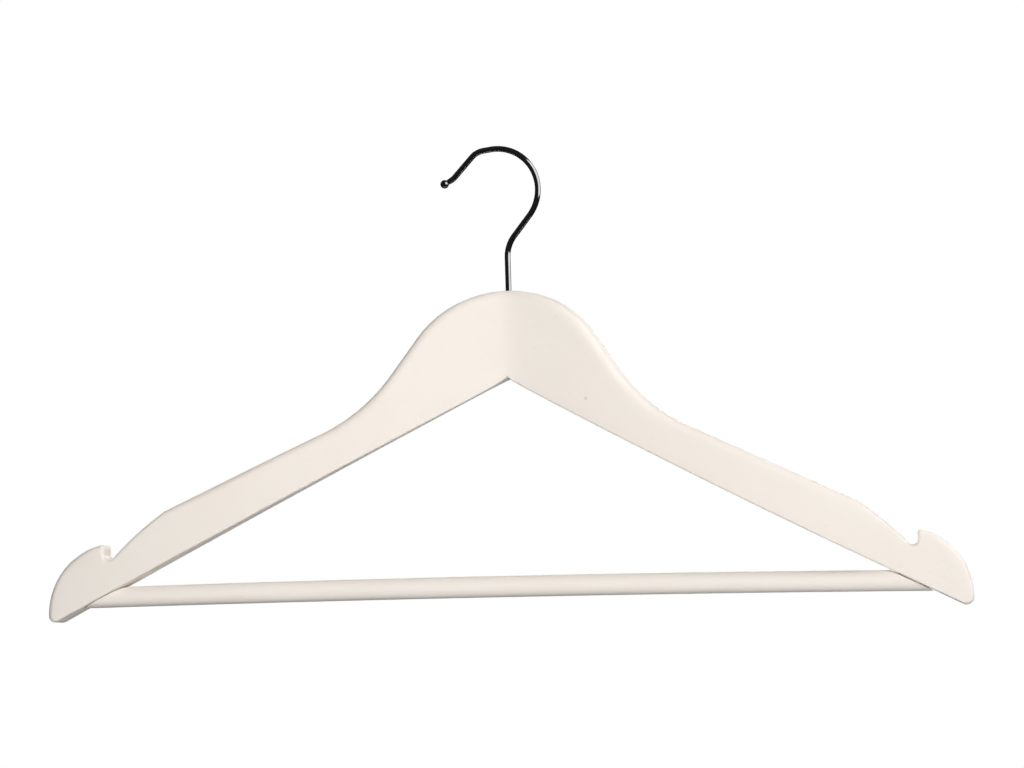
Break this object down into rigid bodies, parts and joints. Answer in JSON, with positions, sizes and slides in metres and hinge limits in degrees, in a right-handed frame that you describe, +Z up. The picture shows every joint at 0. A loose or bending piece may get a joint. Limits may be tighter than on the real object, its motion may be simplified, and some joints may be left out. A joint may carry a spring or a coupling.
{
  "type": "clothes hanger",
  "caption": "Contoured painted wooden clothes hanger with shoulder notches, a fixed round trouser bar and a swivelling chrome wire hook.",
  "frame": {"origin": "inner side of the hook's crown at its highest point, where the hanging rail bears", "axes": "+X along the hanger from the left arm to the right arm, +Y to its back, +Z up; the arms sweep towards -Y"},
  "size_m": [0.445, 0.035, 0.2236],
  "materials": {
    "painted_wood": "satin ivory paint over wood",
    "painted_dowel": "satin ivory paint over a turned dowel",
    "chrome_wire": "bright chrome plate",
    "zinc_steel": "dull zinc plate"
  },
  "bodies": {
    "hook": {"hook": "chrome_wire", "hook_washer": "zinc_steel", "hook_nut": "zinc_steel"},
    "hanger_body": {"arm_left": "painted_wood", "arm_right": "painted_wood", "trouser_bar": "painted_dowel", "bar_brad_left": "zinc_steel", "bar_brad_right": "zinc_steel"}
  },
  "joints": [
    {"name": "hook_swivel", "type": "hinge", "parent": "hook", "child": "hanger_body", "pos_m": [0.00516, 0, -0.0675], "axis": [0, 0, 1], "continuous": true}
  ]
}
